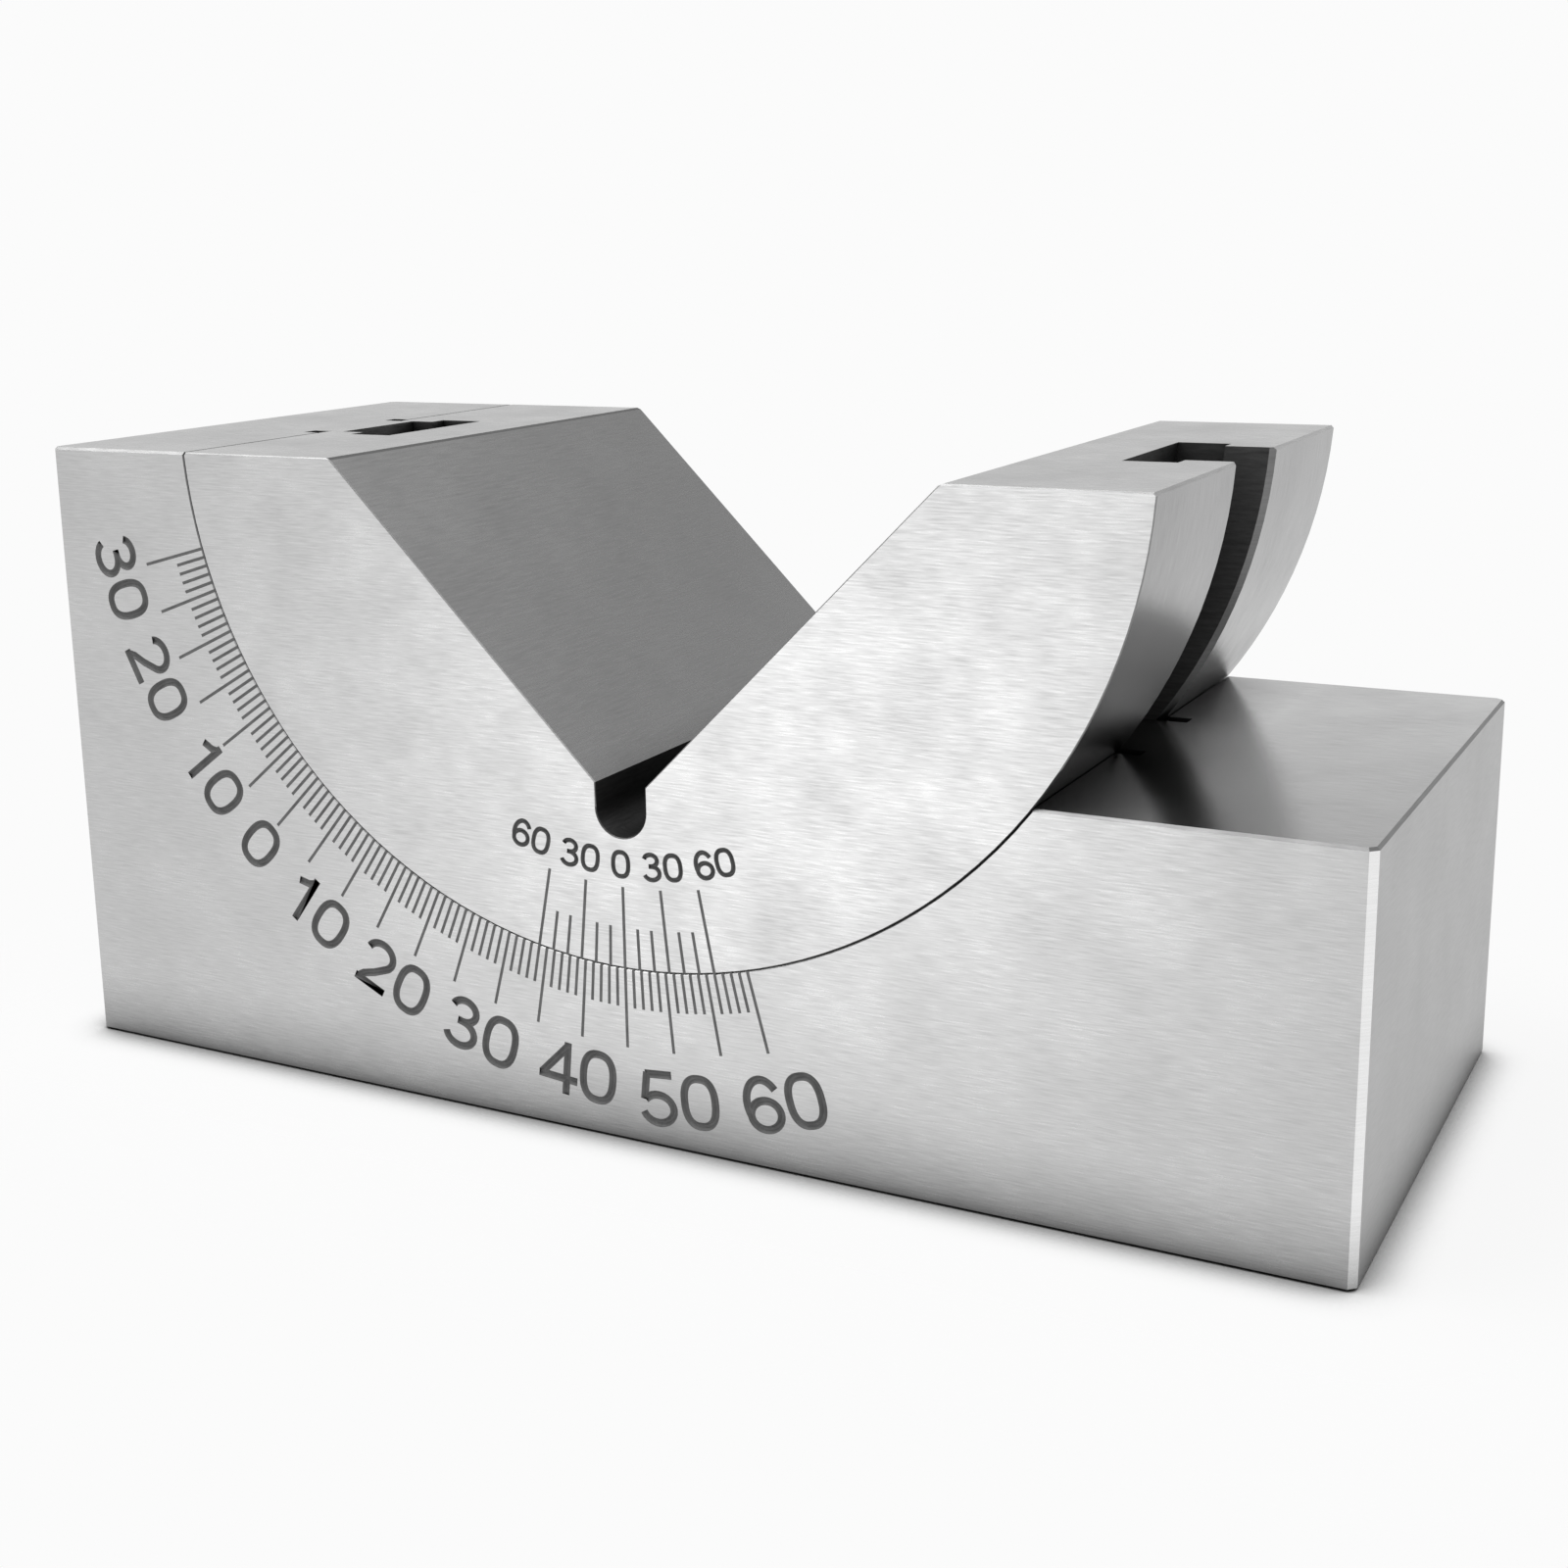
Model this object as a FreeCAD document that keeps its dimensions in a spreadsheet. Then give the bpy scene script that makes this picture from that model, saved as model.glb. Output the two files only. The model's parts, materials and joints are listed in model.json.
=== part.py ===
import FreeCAD, Part
import os
import re

import Sketcher

# Adjustable-angle V block: a ground steel base with a cylindrical seat, and a
# V insert that tilts in that seat about an axis just above the top face.
# A curved nut in the insert's T slot and one cap screw from below lock it.
#
# Frame: millimetres, +Z up, +X from the tall end towards the ledge, and the
# scale faces -Y. The origin is the centre of the underside. The tilt axis is
# parallel to Y, at X = 0 and Z = axis_height.

SIZES = {
    # base block
    "block_length": 102.0,
    "block_width": 44.0,
    "block_height": 48.0,
    "ledge_height": 28.0,
    "axis_height": 50.5,
    "corner_break": 0.5,
    "edge_break": 0.2,
    # cylinder of the insert and its running fit in the seat
    "insert_radius": 37.5,
    "seat_clearance": 0.05,
    "seam_break": 0.08,
    # V groove, and the relief slot at its root
    "vee_opening": 47.4,
    "vee_angle": 90.0,
    "relief_width": 4.0,
    "relief_depth": 25.5,
    # T slot round the insert: the neck, then the wider tee below it
    "neck_width": 9.5,
    "neck_depth": 3.5,
    "tee_width": 12.7,
    "tee_depth": 3.8,
    "mouth_chamfer": 0.4,
    # key of the base that runs in the neck, with a grinding relief each side
    "key_height": 1.5,
    "key_clearance": 0.05,
    "groove_width": 1.4,
    "groove_depth": 1.4,
    # clamp nut, an arc of the T slot's own section
    "nut_arc": 20.0,
    "nut_side_clearance": 0.15,
    "nut_shoulder_clearance": 0.02,
    "nut_travel": 0.5,
    "nut_top_clearance": 0.2,
    "nut_key_clearance": 0.3,
    # clamp screw, and the counterbored hole that it stands in
    "screw_diameter": 6.0,
    "thread_clearance": 0.05,
    "hole_clearance": 0.3,
    "head_diameter": 10.0,
    "head_height": 6.0,
    "head_clearance": 0.5,
    "head_recess": 1.6,
    "head_chamfer": 0.5,
    "tip_chamfer": 0.8,
    "socket_width": 5.0,
    "socket_depth": 3.0,
}

UP = FreeCAD.Vector(0, 0, 1)
ALONG_Y = FreeCAD.Vector(0, 1, 0)

# How far a cutting outline runs past the face that it opens.
OVERCUT = 1.0

# Shared places, as expressions of the sizes. Radii are from the tilt axis.
AXIS_DROP = "(axis_height - block_height)"
SEAT_RADIUS = "(insert_radius + seat_clearance)"
KEY_RADIUS = "(insert_radius + seat_clearance - key_height)"
NECK_RADIUS = "(insert_radius - neck_depth)"
TEE_RADIUS = "(insert_radius - neck_depth - tee_depth)"
NUT_TOP_RADIUS = "(%s + nut_top_clearance + nut_travel)" % TEE_RADIUS

# The screw's head seats at the bottom of the counterbore, and its tip is
# flush with the top of the nut.
COUNTERBORE_DEPTH = "(head_recess + head_height)"
SCREW_LENGTH = "(axis_height - %s - %s)" % (NUT_TOP_RADIUS, COUNTERBORE_DEPTH)

doc = FreeCAD.newDocument("adjustable_vee_block")


def make_sheet():
    """Write each driving size to a cell of the sheet that bears its name."""
    sheet = doc.addObject("Spreadsheet::Sheet", "Sizes")
    for row, (name, value) in enumerate(SIZES.items(), start=1):
        sheet.set("A%d" % row, name)
        sheet.set("B%d" % row, str(value))
        sheet.setAlias("B%d" % row, name)
    doc.recompute()


def bound(text):
    """The same expression, with each size's name pointing at its cell."""
    def cell(match):
        name = match.group(0)
        return "Sizes." + name if name in SIZES else name
    return re.sub(r"[a-z_]+", cell, text)


def number(owner, text):
    """Value of an expression of sizes, as a plain number."""
    result = owner.evalExpression(bound(text))
    return float(getattr(result, "Value", result))


def new_body(name, height=None):
    """Empty body, with its origin raised to height."""
    body = doc.addObject("PartDesign::Body", name)
    body.Label = name
    if height is not None:
        body.setExpression("Placement.Base.z", bound(height))
    return body


def origin_plane(body, role):
    return next(item for item in body.Origin.OriginFeatures if item.Role == role)


def new_sketch(body, name, plane, offset=None):
    """Empty sketch on one of the body's origin planes, moved off it by offset."""
    sketch = body.newObject("Sketcher::SketchObject", name)
    sketch.AttachmentSupport = [(origin_plane(body, plane), "")]
    sketch.MapMode = "FlatFace"
    if offset is not None:
        sketch.setExpression("AttachmentOffset.Base.z", bound(offset))
    return sketch


def bind(sketch, constraint, text):
    """Add a constraint whose value is an expression of sizes."""
    index = sketch.addConstraint(constraint)
    sketch.setExpression("Constraints[%d]" % index, bound(text))


def pin(sketch, side, end, point):
    """Hold one end of a side at its two distances from the sketch's origin."""
    for kind, text in zip(("DistanceX", "DistanceY"), point):
        distance = number(sketch, text)
        bind(sketch, Sketcher.Constraint(kind, -1, 1, side, end, distance), text)


def pin_centre_height(sketch, side, text):
    """Hold a round side's centre at its height over the sketch's origin."""
    height = number(sketch, text)
    bind(sketch, Sketcher.Constraint("DistanceY", -1, 1, side, 3, height), text)


def add_side(sketch, start, end, centre=None, clockwise=False):
    """Add a straight side, or a round one if it has a centre.

    Returns which ends of the new geometry are the side's start and end.
    """
    if centre is None:
        sketch.addGeometry(Part.LineSegment(start, end))
        return 1, 2
    circle = Part.Circle(centre, UP, start.distanceToPoint(centre))
    first, last = (end, start) if clockwise else (start, end)
    turn = circle.parameter(first), circle.parameter(last)
    sketch.addGeometry(Part.ArcOfCircle(circle, *turn))
    return (2, 1) if clockwise else (1, 2)


def draw_outline(sketch, points, arcs=None):
    """Closed outline through points, which are pairs of expressions.

    Side n runs from point n to the next. arcs gives a round side's centre,
    and whether the side runs clockwise. The two ends of a round side are
    level with each other, so the height of its centre is enough to hold it.
    """
    arcs = arcs or {}
    corners = [FreeCAD.Vector(number(sketch, x), number(sketch, y), 0) for x, y in points]
    following = [(side + 1) % len(points) for side in range(len(points))]
    ends = []
    for side, after in enumerate(following):
        centre = clockwise = None
        if side in arcs:
            (centre_x, centre_y), clockwise = arcs[side]
            centre = FreeCAD.Vector(number(sketch, centre_x), number(sketch, centre_y), 0)
        ends.append(add_side(sketch, corners[side], corners[after], centre, clockwise))
    for side, after in enumerate(following):
        joint = (side, ends[side][1], after, ends[after][0])
        sketch.addConstraint(Sketcher.Constraint("Coincident", *joint))
        pin(sketch, side, ends[side][0], points[side])
    for side, ((_, centre_y), _) in arcs.items():
        pin_centre_height(sketch, side, centre_y)


def draw_circle(sketch, diameter):
    """Circle of a bound diameter about the sketch's origin."""
    size = number(sketch, diameter)
    sketch.addGeometry(Part.Circle(FreeCAD.Vector(), UP, size / 2))
    sketch.addConstraint(Sketcher.Constraint("Coincident", 0, 3, -1, 1))
    bind(sketch, Sketcher.Constraint("Diameter", 0, size), diameter)


def both_sides(right_half):
    """Whole outline from its right half, mirrored in the sketch's vertical axis."""
    return right_half + [("-(%s)" % x, y) for x, y in reversed(right_half)]


def add_feature(body, kind, name, sketch):
    feature = body.newObject("PartDesign::" + kind, name)
    feature.Profile = sketch
    sketch.Visibility = False
    return feature


def chamfer_edges(body, name, size, chosen):
    """Chamfer the edges of the body so far that chosen says yes to."""
    doc.recompute()
    base = body.Tip
    edges = ["Edge%d" % n for n, edge in enumerate(base.Shape.Edges, start=1) if chosen(edge)]
    feature = body.newObject("PartDesign::Chamfer", name)
    feature.Base = (base, edges)
    feature.setExpression("Size", bound(size))


def near(value, target):
    return abs(value - target) < 1e-4


def add_turning_axis(sketch, height):
    """Construction line along the sketch's horizontal, at height."""
    level = number(sketch, height)
    ends = FreeCAD.Vector(0, level, 0), FreeCAD.Vector(1, level, 0)
    line = sketch.addGeometry(Part.LineSegment(*ends), True)
    pin(sketch, line, 1, ("0", height))
    pin(sketch, line, 2, ("1", height))
    return (sketch, ["Axis0"])


def along(edge, direction):
    """Whether an edge is straight and parallel to a row axis."""
    return edge.Curve.TypeId == "Part::GeomLine" and near(abs(edge.tangentAt(0).dot(direction)), 1)


def make_base():
    """Block with a tall end, a ledge, and the round seat with its key."""
    body = new_body("block_base")

    front = new_sketch(body, "base_front", "XZ_Plane")
    draw_outline(front, [
        ("-block_length / 2", "0"),
        ("block_length / 2", "0"),
        ("block_length / 2", "ledge_height"),
        ("0", "ledge_height"),
        ("0", "block_height"),
        ("-block_length / 2", "block_height"),
    ])
    block = add_feature(body, "Pad", "base_block", front)
    block.SideType = "Symmetric"
    block.setExpression("Length", bound("block_width"))

    # The seat is turned about the tilt axis, and leaves the key standing.
    section = new_sketch(body, "seat_section", "YZ_Plane")
    key_side = "neck_width / 2 - key_clearance"
    past_face = "block_width / 2 + %g" % OVERCUT
    draw_outline(section, both_sides([
        (key_side, "axis_height - " + KEY_RADIUS),
        (key_side, "axis_height - %s - groove_depth" % SEAT_RADIUS),
        (key_side + " + groove_width", "axis_height - %s - groove_depth" % SEAT_RADIUS),
        (key_side + " + groove_width", "axis_height - " + SEAT_RADIUS),
        (past_face, "axis_height - " + SEAT_RADIUS),
        (past_face, "axis_height"),
    ]))
    seat = add_feature(body, "Groove", "seat", section)
    seat.ReferenceAxis = add_turning_axis(section, "axis_height")
    seat.Angle = 360

    mouth = new_sketch(body, "screw_hole_mouth", "XY_Plane")
    draw_circle(mouth, "screw_diameter + 2 * hole_clearance")
    doc.recompute()
    hole = add_feature(body, "Hole", "screw_hole", mouth)
    hole.DepthType = "ThroughAll"
    hole.Reversed = True
    hole.HoleCutType = "Counterbore"
    hole.HoleCutCustomValues = True
    hole.setExpression("Diameter", bound("screw_diameter + 2 * hole_clearance"))
    hole.setExpression("HoleCutDiameter", bound("head_diameter + 2 * head_clearance"))
    hole.setExpression("HoleCutDepth", bound(COUNTERBORE_DEPTH))

    half_length = number(body, "block_length / 2")
    half_width = number(body, "block_width / 2")
    seat_radius = number(body, SEAT_RADIUS)
    corner_break = number(body, "corner_break")

    def on_corner(edge):
        middle = edge.CenterOfMass
        return (along(edge, UP) and near(abs(middle.x), half_length)
                and near(abs(middle.y), half_width))

    def on_seam(edge):
        return (edge.Curve.TypeId == "Part::GeomCircle" and near(edge.Curve.Radius, seat_radius)
                and near(abs(edge.CenterOfMass.y), half_width))

    def on_rim(edge):
        middle = edge.CenterOfMass
        level = near(edge.BoundBox.ZLength, 0) and edge.Curve.TypeId == "Part::GeomLine"
        at_end = abs(middle.x) > half_length - corner_break
        at_side = abs(middle.y) > half_width - corner_break
        return level and (at_end or at_side)

    chamfer_edges(body, "base_corners", "corner_break", on_corner)
    chamfer_edges(body, "seat_edges", "seam_break", on_seam)
    chamfer_edges(body, "base_edges", "edge_break", on_rim)
    return body


def make_insert():
    """Disc segment with the V, its relief slot and the T slot round the back."""
    body = new_body("vee_insert", "axis_height")

    front = new_sketch(body, "insert_front", "XZ_Plane")
    root = "-%s - (vee_opening - relief_width) / 2 / tan(vee_angle / 2)" % AXIS_DROP
    relief_centre = "-%s - relief_depth + relief_width / 2" % AXIS_DROP
    draw_outline(front, both_sides([
        ("sqrt(insert_radius ^ 2 - %s ^ 2)" % AXIS_DROP, "-" + AXIS_DROP),
        ("vee_opening / 2", "-" + AXIS_DROP),
        ("relief_width / 2", root),
        ("relief_width / 2", relief_centre),
    ]), arcs={
        3: (("0", relief_centre), True),
        7: (("0", "0"), False),
    })
    segment = add_feature(body, "Pad", "insert_segment", front)
    segment.SideType = "Symmetric"
    segment.setExpression("Length", bound("block_width"))

    half_width = number(body, "block_width / 2")

    def on_face_outline(edge):
        box = edge.BoundBox
        return near(box.YLength, 0) and near(abs(box.YMin), half_width)

    def on_top(edge):
        return along(edge, ALONG_Y) and near(edge.CenterOfMass.z, -number(body, AXIS_DROP))

    chamfer_edges(body, "insert_top_edges", "edge_break", on_top)
    chamfer_edges(body, "insert_outline", "seam_break", on_face_outline)

    section = new_sketch(body, "tee_section", "YZ_Plane")
    mouth_side = "neck_width / 2 + mouth_chamfer + %g" % OVERCUT
    draw_outline(section, both_sides([
        (mouth_side, "-insert_radius - %g" % OVERCUT),
        ("neck_width / 2", "-insert_radius + mouth_chamfer"),
        ("neck_width / 2", "-" + NECK_RADIUS),
        ("tee_width / 2", "-" + NECK_RADIUS),
        ("tee_width / 2", "-" + TEE_RADIUS),
    ]))
    slot = add_feature(body, "Groove", "tee_slot", section)
    slot.ReferenceAxis = add_turning_axis(section, "0")
    slot.Angle = 360
    return body


def make_clamp_nut():
    """Arc of the T slot's section, with the screw's thread through its middle."""
    body = new_body("clamp_nut", "axis_height")

    section = new_sketch(body, "nut_section", "YZ_Plane")
    boss_side = "neck_width / 2 - nut_side_clearance"
    flange_side = "tee_width / 2 - nut_side_clearance"
    shoulder = "-%s + nut_shoulder_clearance" % NECK_RADIUS
    boss_end = "-%s + nut_key_clearance" % KEY_RADIUS
    draw_outline(section, both_sides([
        (boss_side, boss_end),
        (boss_side, shoulder),
        (flange_side, shoulder),
        (flange_side, "-" + NUT_TOP_RADIUS),
    ]))
    arc = add_feature(body, "Revolution", "nut_arc", section)
    arc.ReferenceAxis = add_turning_axis(section, "0")
    arc.Midplane = True
    arc.setExpression("Angle", bound("nut_arc"))

    bore = new_sketch(body, "nut_bore_outline", "XY_Plane")
    draw_circle(bore, "screw_diameter + 2 * thread_clearance")
    thread = add_feature(body, "Pocket", "nut_bore", bore)
    thread.Type = "ThroughAll"
    return body


def make_clamp_screw():
    """Socket head cap screw, standing on its head in the counterbore."""
    body = new_body("clamp_screw", COUNTERBORE_DEPTH)

    profile = new_sketch(body, "screw_profile", "XZ_Plane")
    draw_outline(profile, [
        ("0", "-head_height"),
        ("head_diameter / 2 - head_chamfer", "-head_height"),
        ("head_diameter / 2", "-head_height + head_chamfer"),
        ("head_diameter / 2", "0"),
        ("screw_diameter / 2", "0"),
        ("screw_diameter / 2", SCREW_LENGTH + " - tip_chamfer"),
        ("screw_diameter / 2 - tip_chamfer", SCREW_LENGTH),
        ("0", SCREW_LENGTH),
    ])
    turned = add_feature(body, "Revolution", "screw_blank", profile)
    turned.ReferenceAxis = (profile, ["V_Axis"])
    turned.Angle = 360

    hexagon = new_sketch(body, "socket_outline", "XY_Plane", "-head_height")
    draw_outline(hexagon, [
        ("socket_width / sqrt(3) * cos(%d)" % turn, "socket_width / sqrt(3) * sin(%d)" % turn)
        for turn in range(0, 360, 60)
    ])
    socket = add_feature(body, "Pocket", "hex_socket", hexagon)
    socket.Reversed = True
    socket.setExpression("Length", bound("socket_depth"))
    return body


def check_and_export(bodies):
    """Stop at any failed object, then write each body's shape."""
    doc.recompute()
    for item in doc.Objects:
        failed = {"Invalid", "Error"} & set(item.State)
        if failed:
            raise RuntimeError("%s is %s" % (item.Name, ", ".join(failed)))
    for body in bodies:
        shape = body.Shape
        if shape.isNull() or not shape.isValid() or len(shape.Solids) != 1:
            raise RuntimeError("%s is not one valid solid" % body.Label)
    os.makedirs("parts", exist_ok=True)
    for body in bodies:
        body.Shape.exportStep("parts/%s.step" % body.Label)
        print("%-12s %10.1f mm3" % (body.Label, body.Shape.Volume))


make_sheet()
check_and_export([make_base(), make_insert(), make_clamp_nut(), make_clamp_screw()])
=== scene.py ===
import json
import math

import bmesh
import bpy
from mathutils import Matrix, Vector


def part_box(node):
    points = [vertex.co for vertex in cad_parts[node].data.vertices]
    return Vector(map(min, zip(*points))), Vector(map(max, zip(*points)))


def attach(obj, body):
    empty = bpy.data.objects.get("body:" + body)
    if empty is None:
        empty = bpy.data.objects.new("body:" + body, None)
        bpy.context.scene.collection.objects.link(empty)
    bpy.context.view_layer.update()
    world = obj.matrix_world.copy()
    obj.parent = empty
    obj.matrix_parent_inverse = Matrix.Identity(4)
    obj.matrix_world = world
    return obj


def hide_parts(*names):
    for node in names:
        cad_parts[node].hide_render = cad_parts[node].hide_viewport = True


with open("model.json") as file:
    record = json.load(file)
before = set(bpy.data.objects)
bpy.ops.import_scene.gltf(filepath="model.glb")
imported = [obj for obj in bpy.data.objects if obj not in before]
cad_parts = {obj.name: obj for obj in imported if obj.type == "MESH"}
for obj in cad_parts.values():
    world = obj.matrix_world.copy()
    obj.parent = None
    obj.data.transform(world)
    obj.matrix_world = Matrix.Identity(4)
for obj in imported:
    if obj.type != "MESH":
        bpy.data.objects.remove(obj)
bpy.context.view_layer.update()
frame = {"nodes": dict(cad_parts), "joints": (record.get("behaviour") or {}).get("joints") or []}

# Looks of an adjustable-angle V block: ground steel, with an engraved and
# filled degree scale on the base and a vernier on the tilting insert.

MM = 0.001

# ---------------------------------------------------------------- places
TILT = next(joint for joint in frame["joints"] if joint["name"] == "insert_tilt")
AXIS = Vector(TILT["pos_m"])
BASE_LOW, BASE_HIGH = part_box("block_base")
INSERT_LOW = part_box("vee_insert")[0]
SCREW_LOW, SCREW_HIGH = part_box("clamp_screw")
FRONT = BASE_LOW.y
INSERT_RADIUS = AXIS.z - INSERT_LOW.z

# ---------------------------------------------------------------- scale
# Angles in degrees from straight down, positive towards the ledge.
SCALE_MIDDLE = 45.0
BASE_MARKS = {"count": 91, "first": -30.0 - SCALE_MIDDLE, "step": 1.0, "long_every": 5,
              "root": INSERT_RADIUS, "short": 1.0775 * INSERT_RADIUS,
              "long": 1.158 * INSERT_RADIUS}
VERNIER_MARKS = {"count": 13, "first": -11.0, "step": 11.0 / 6, "long_every": 3,
                 "root": INSERT_RADIUS, "short": 0.920 * INSERT_RADIUS,
                 "long": 0.841 * INSERT_RADIUS}

# Numeral, its place on the scale in degrees and its radius from the tilt axis.
BASE_NUMERALS = [
    ("30", -29.4, 46.3), ("20", -19.1, 46.3), ("10", -8.5, 45.9), ("0", -0.1, 45.9),
    ("10", 8.3, 46.1), ("20", 18.8, 46.1), ("30", 29.2, 46.2), ("40", 39.7, 46.2),
    ("50", 50.0, 46.9), ("60", 60.3, 47.0),
]
VERNIER_NUMERALS = [("60", -14.6, 29.75), ("30", -6.6, 29.85), ("0", -0.2, 29.9),
                    ("30", 6.2, 29.9), ("60", 14.2, 29.85)]
# Height, and stroke as a share of it.
BASE_LETTERING = (4.15 * MM, 0.148)
VERNIER_LETTERING = (2.05 * MM, 0.17)

# Engraved lines are V grooves. Numerals are flat grooves, and their filler
# is thick in the corners and thin in the middle. Shares are of the stroke.
MARK_HALF_WIDTH = 0.12 * MM
ENGRAVED_DEPTH = 0.25 * MM
FILL_DEPTH = 0.012 * MM
GROOVE = (1.0, 0.85, 1.0)  # share at the face, share at the floor, share of the depth
HOLLOW = (0.90, 0.30, 0.85)
# Painted light and shade on the seam's edges: their colour level from the tall end to the ledge.
SEAM_PAINTED_TONES = [(0.0, 0.16), (0.12, 0.34), (0.55, 0.38), (0.75, 0.18), (0.95, 0.03)]

# Where the kinds of face lie. Heights and half widths are from the tilt axis,
# and spans run outwards from the insert's radius.
TEE_REACH, TEE_SPAN = 6.4 * MM, (-7.5 * MM, -0.5 * MM)
TEE_LOW, TEE_ENDS = -6 * MM, 9 * MM
GROOVE_REACH, GROOVE_SPAN = 6.3 * MM, (0.1 * MM, 1.8 * MM)
RELIEF_HALF_WIDTH = 2.05 * MM
RELIEF_MOUTH, RELIEF_FLOOR = -24.3 * MM, -28.1 * MM
ON_ROUND = 0.3 * MM
OFF_ROUND = 1 * MM
AT_FACE = 0.1 * MM
LEDGE_BELOW, TOP_ABOVE = -20 * MM, -3 * MM
OVER_UNDERSIDE = 1 * MM
FLANK_BELOW, FLANK_RADIUS = -3.2 * MM, 34 * MM
# Parts of a normal that count as level, straight, sideways and even.
LEVEL, STRAIGHT, SIDEWAYS, EVEN = 0.999, 0.98, 0.1, 0.01

# The same for laying the grind, and the step between kinds of face, in metres.
FACES_SIDE, FACES_END = 0.6, 0.9
SHIFT = 0.2

# Clamp screw. Head edges are pairs, millimetres from that end and in from the wall.
HEAD_HEIGHT = 6.0 * MM
HEAD_LOW_EDGE = [(0.0, 0.55), (0.12, 0.35), (0.5, 0.12), (0.7, 0.01)]
HEAD_HIGH_EDGE = [(0.9, 0.01), (0.7, 0.12), (0.1, 0.12), (0.0, 0.25)]
HEAD_STEPS = 240
SOCKET_WIDTH, SOCKET_DEPTH = 5.0 * MM, 3.0 * MM
SOCKET_LEAD, SOCKET_POINT = 0.3 * MM, 0.8 * MM
KNURL_RIDGES, KNURL_DEPTH = 40.0, 0.16 * MM
KNURL_LOW, KNURL_HIGH, KNURL_WALL = 0.6 * MM, 0.8 * MM, 0.05 * MM
SCREW_RADIUS, THREAD_PITCH, THREAD_DEPTH = 3.0 * MM, 1.0 * MM, 0.55 * MM
TIP_CHAMFER = 0.8 * MM

# Faces that meet at less than FLAT are one plane, and at less than SHARP one curve.
FLAT, SHARP = math.radians(0.3), math.radians(20)


def arc(x, y, across, up, start, end, steps=20, square=1.0):
    """Points of an elliptical arc, in shares of a numeral's height, fuller below square 1."""
    def bulge(share):
        return math.copysign(abs(share) ** square, share)
    turns = [math.radians(start + (end - start) * n / steps) for n in range(steps + 1)]
    return [(x + across * bulge(math.cos(turn)), y + up * bulge(math.sin(turn))) for turn in turns]


# Middle lines of the numerals' strokes, on a height of 1: paths and closed loops.
DIGITS = {
    "0": ([], [arc(0.30, 0.50, 0.235, 0.425, 0, 360, 48, 0.8)[:-1]]),
    "1": ([[(0.43, 0.0), (0.43, 1.0)], [(0.43, 0.92), (0.35, 0.82), (0.18, 0.735)]], []),
    "2": ([arc(0.30, 0.695, 0.225, 0.245, 168, -38) + [(0.30, 0.33), (0.15, 0.19), (0.075, 0.065)],
           [(0.02, 0.0625), (0.56, 0.0625)]], []),
    "3": ([arc(0.29, 0.735, 0.20, 0.205, 165, -90) + [(0.21, 0.53)],
           [(0.21, 0.53)] + arc(0.29, 0.295, 0.235, 0.235, 90, -165)], []),
    "4": ([[(0.455, 0.0), (0.455, 0.98)], [(0.47, 0.93), (0.06, 0.31)],
           [(0.01, 0.29), (0.63, 0.29)]], []),
    "5": ([[(0.55, 0.9375), (0.14, 0.9375)], [(0.17, 0.96), (0.095, 0.47)],
           arc(0.30, 0.315, 0.24, 0.255, 142, -165)], []),
    "6": ([arc(0.325, 0.50, 0.25, 0.44, 32, 200)],
          [arc(0.32, 0.315, 0.225, 0.255, 0, 360, 40)[:-1]]),
}
# Stretch of the digits across, then the step and the width of a digit, in heights.
DIGIT_STRETCH = 1.27
DIGIT_ADVANCE = 0.83
DIGIT_WIDTH = 0.77
# How far a cutting bar stands out of the face, in engraved depths, and the
# least share by which a mitred corner may narrow.
BAR_ABOVE = 0.3
MITRE_LIMIT = 0.5


def on_face(x, z, depth):
    """Point on the front face, from the tilt axis, and depth into the steel."""
    return Vector((AXIS.x + x, FRONT + depth, AXIS.z + z))


def add_stroke(bm, path, half_width, closed, section):
    """Bar along a flat path that cuts a groove, wider at the face than at its floor."""
    at_face, at_floor, deep = section
    spread = (at_face - at_floor) / deep * BAR_ABOVE
    points = [Vector(point) for point in path]
    count = len(points)
    rings = []
    for n, point in enumerate(points):
        before = points[n - 1] if closed or n else None
        after = points[(n + 1) % count] if closed or n < count - 1 else None
        into = (point - before).normalized() if before is not None else (after - point).normalized()
        out = (after - point).normalized() if after is not None else into
        side = Vector((-(into + out).y, (into + out).x)).normalized()
        side /= max(side.dot(Vector((-into.y, into.x))), MITRE_LIMIT)
        ring = []
        for depth, half in ((-BAR_ABOVE * ENGRAVED_DEPTH, half_width * (at_face + spread)),
                            (deep * ENGRAVED_DEPTH, half_width * at_floor)):
            for sign in (1, -1):
                edge = point + side * half * sign
                ring.append(bm.verts.new(on_face(edge.x, edge.y, depth)))
        rings.append([ring[0], ring[1], ring[3], ring[2]])
    for n in range(count if closed else count - 1):
        near, far = rings[n], rings[(n + 1) % count]
        for k in range(4):
            bm.faces.new((near[k], near[(k + 1) % 4], far[(k + 1) % 4], far[k]))
    if not closed:
        bm.faces.new(reversed(rings[0]))
        bm.faces.new(rings[-1])


def add_numeral(bm, text, turn, radius, lettering, section):
    """Cutting bars of a numeral whose top points at the tilt axis."""
    height, stroke = lettering
    up = Vector((-math.sin(turn), math.cos(turn)))
    right = Vector((up.y, -up.x))
    middle = -up * radius
    width = DIGIT_ADVANCE * (len(text) - 1) + DIGIT_WIDTH
    for place, digit in enumerate(text):
        paths, loops = DIGITS[digit]
        for closed, group in ((False, paths), (True, loops)):
            for path in group:
                placed = [
                    middle
                    + right * height * (x * DIGIT_STRETCH + place * DIGIT_ADVANCE - width / 2)
                    + up * height * (y - 0.5)
                    for x, y in path]
                add_stroke(bm, placed, stroke * height / 2, closed, section)


def new_object(name, mesh):
    item = bpy.data.objects.new(name, mesh)
    bpy.context.scene.collection.objects.link(item)
    return item


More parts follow.
